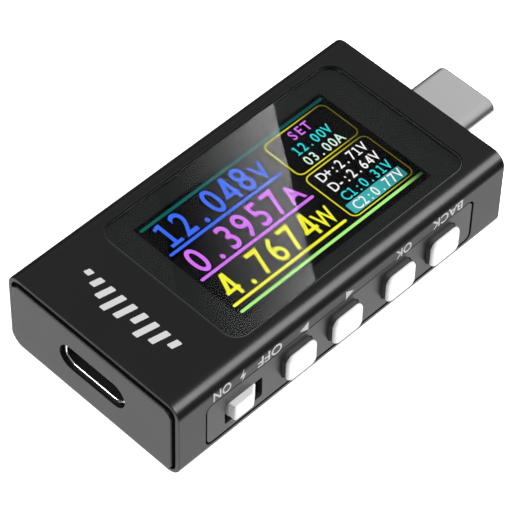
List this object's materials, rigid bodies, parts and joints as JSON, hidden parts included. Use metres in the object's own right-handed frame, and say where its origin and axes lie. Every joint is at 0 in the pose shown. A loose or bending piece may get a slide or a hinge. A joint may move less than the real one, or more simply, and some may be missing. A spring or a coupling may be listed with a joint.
{
  "type": "usb power meter",
  "caption": "Pocket inline USB-C power meter: metal case with plug and receptacle ends, flush colour display, side push keys and a slide switch.",
  "frame": {"origin": "centre of the case's flat underside", "axes": "+X towards the plug, -Y the side with the keys, +Z the display side"},
  "size_m": [0.0558, 0.0256, 0.011],
  "materials": {
    "black_anodised": "satin black anodised",
    "black_end_cap": "fine satin black",
    "black_panel": "semi-gloss black",
    "window_glass": "polished, tinted",
    "black_adhesive": "matt black tape",
    "display_face": "glossy dark display",
    "white_light_guide": "white moulded frame",
    "amber_flex": "amber film",
    "beige_connector": "beige moulded",
    "grey_foam": "open-cell foam",
    "white_keys": "satin white moulded",
    "black_insulator": "moulded black",
    "stainless_steel": "brushed bright",
    "plug_steel": "bright satin nickel",
    "gold_contacts": "gold plated",
    "board_laminate": "green solder mask",
    "chip_package": "moulded epoxy",
    "ferrite": "sintered ferrite"
  },
  "bodies": {
    "meter_body": {"case": "black_anodised", "receptacle_end_cap": "black_end_cap", "plug_end_cap": "black_end_cap", "display_window": "window_glass", "window_adhesive": "black_adhesive", "display_panel": "display_face", "display_backlight": "white_light_guide", "display_flex": "amber_flex", "display_connector": "beige_connector", "display_foam_pad": "grey_foam", "side_panel": "black_panel", "tact_domes": "stainless_steel", "slide_switch_body": "black_insulator", "slide_switch_cover": "stainless_steel", "main_board": "board_laminate", "receptacle_shell": "stainless_steel", "receptacle_housing": "black_insulator", "receptacle_contacts": "gold_contacts", "plug_shell": "plug_steel", "plug_housing": "black_insulator", "plug_contacts": "gold_contacts", "controller_chip": "chip_package", "meter_chip": "chip_package", "protocol_chip": "chip_package", "flash_chip": "chip_package", "shunt_resistor": "chip_package", "crystal": "stainless_steel", "power_inductor": "ferrite", "power_mosfets": "chip_package", "chip_capacitors": "beige_connector", "chip_resistors": "chip_package", "tact_body_left": "black_insulator", "tact_cover_left": "stainless_steel", "tact_body_right": "black_insulator", "tact_cover_right": "stainless_steel", "tact_body_ok": "black_insulator", "tact_cover_ok": "stainless_steel", "tact_body_back": "black_insulator", "tact_cover_back": "stainless_steel"},
    "key_left_body": {"key_left": "white_keys", "tact_stem_left": "black_insulator"},
    "key_right_body": {"key_right": "white_keys", "tact_stem_right": "black_insulator"},
    "key_ok_body": {"key_ok": "white_keys", "tact_stem_ok": "black_insulator"},
    "key_back_body": {"key_back": "white_keys", "tact_stem_back": "black_insulator"},
    "slide_switch_knob": {"slide_knob": "white_keys", "slide_actuator": "black_insulator"}
  },
  "joints": [
    {"name": "key_left_press", "type": "slide", "parent": "meter_body", "child": "key_left_body", "axis": [0, 1, 0], "range_m": [0, 0.00025], "stiffness_N_per_m": 3000, "springref_m": -0.0001},
    {"name": "key_right_press", "type": "slide", "parent": "meter_body", "child": "key_right_body", "axis": [0, 1, 0], "range_m": [0, 0.00025], "stiffness_N_per_m": 3000, "springref_m": -0.0001},
    {"name": "key_ok_press", "type": "slide", "parent": "meter_body", "child": "key_ok_body", "axis": [0, 1, 0], "range_m": [0, 0.00025], "stiffness_N_per_m": 3000, "springref_m": -0.0001},
    {"name": "key_back_press", "type": "slide", "parent": "meter_body", "child": "key_back_body", "axis": [0, 1, 0], "range_m": [0, 0.00025], "stiffness_N_per_m": 3000, "springref_m": -0.0001},
    {"name": "slide_switch_travel", "type": "slide", "parent": "meter_body", "child": "slide_switch_knob", "axis": [1, 0, 0], "range_m": [0, 0.0009]}
  ]
}
